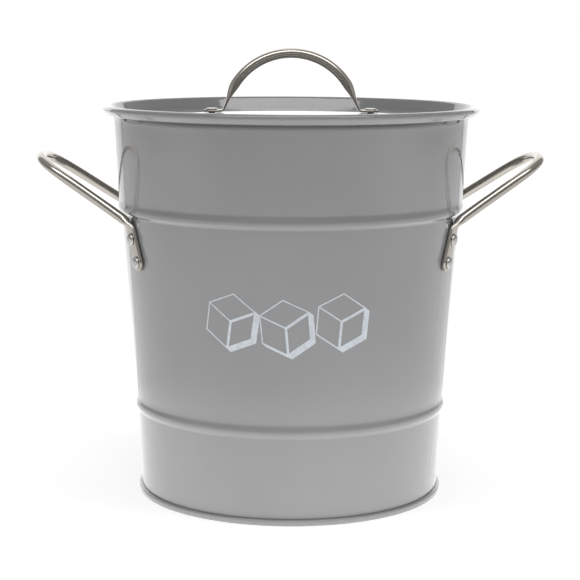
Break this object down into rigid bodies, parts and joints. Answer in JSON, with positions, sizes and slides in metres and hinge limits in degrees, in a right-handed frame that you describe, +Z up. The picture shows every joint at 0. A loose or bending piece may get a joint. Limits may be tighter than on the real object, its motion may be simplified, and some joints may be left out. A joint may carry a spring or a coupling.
{
  "type": "lidded ice bucket",
  "caption": "Tapered sheet-steel ice bucket with a rolled rim and pressed beads, a loose domed lid with an arched handle, and riveted rod carrying handles.",
  "frame": {"origin": "centre of the base seam's underside, on which the bucket stands", "axes": "+Z up the bucket's axis; the front faces -Y; the two carrying handles stand out along -X and +X"},
  "size_m": [0.284, 0.21, 0.2502],
  "materials": {
    "pail_paint": "smooth gloss grey enamel",
    "handle_steel": "satin stainless rod, brushed along its length",
    "rivet_steel": "bright steel, round heads"
  },
  "bodies": {
    "pail": {"pail_wall": "pail_paint", "base_pan": "pail_paint", "right_handle": "handle_steel", "right_handle_rivet_front_upper": "rivet_steel", "right_handle_rivet_front_lower": "rivet_steel", "right_handle_rivet_rear_upper": "rivet_steel", "right_handle_rivet_rear_lower": "rivet_steel", "left_handle": "handle_steel", "left_handle_rivet_front_upper": "rivet_steel", "left_handle_rivet_front_lower": "rivet_steel", "left_handle_rivet_rear_upper": "rivet_steel", "left_handle_rivet_rear_lower": "rivet_steel"},
    "lid": {"lid_panel": "pail_paint", "lid_handle": "handle_steel", "lid_rivet_right": "rivet_steel", "lid_rivet_left": "rivet_steel"}
  },
  "joints": [
    {"name": "lid_lift", "type": "slide", "parent": "pail", "child": "lid", "axis": [0, 0, 1], "range_m": [0, 0.08]}
  ]
}
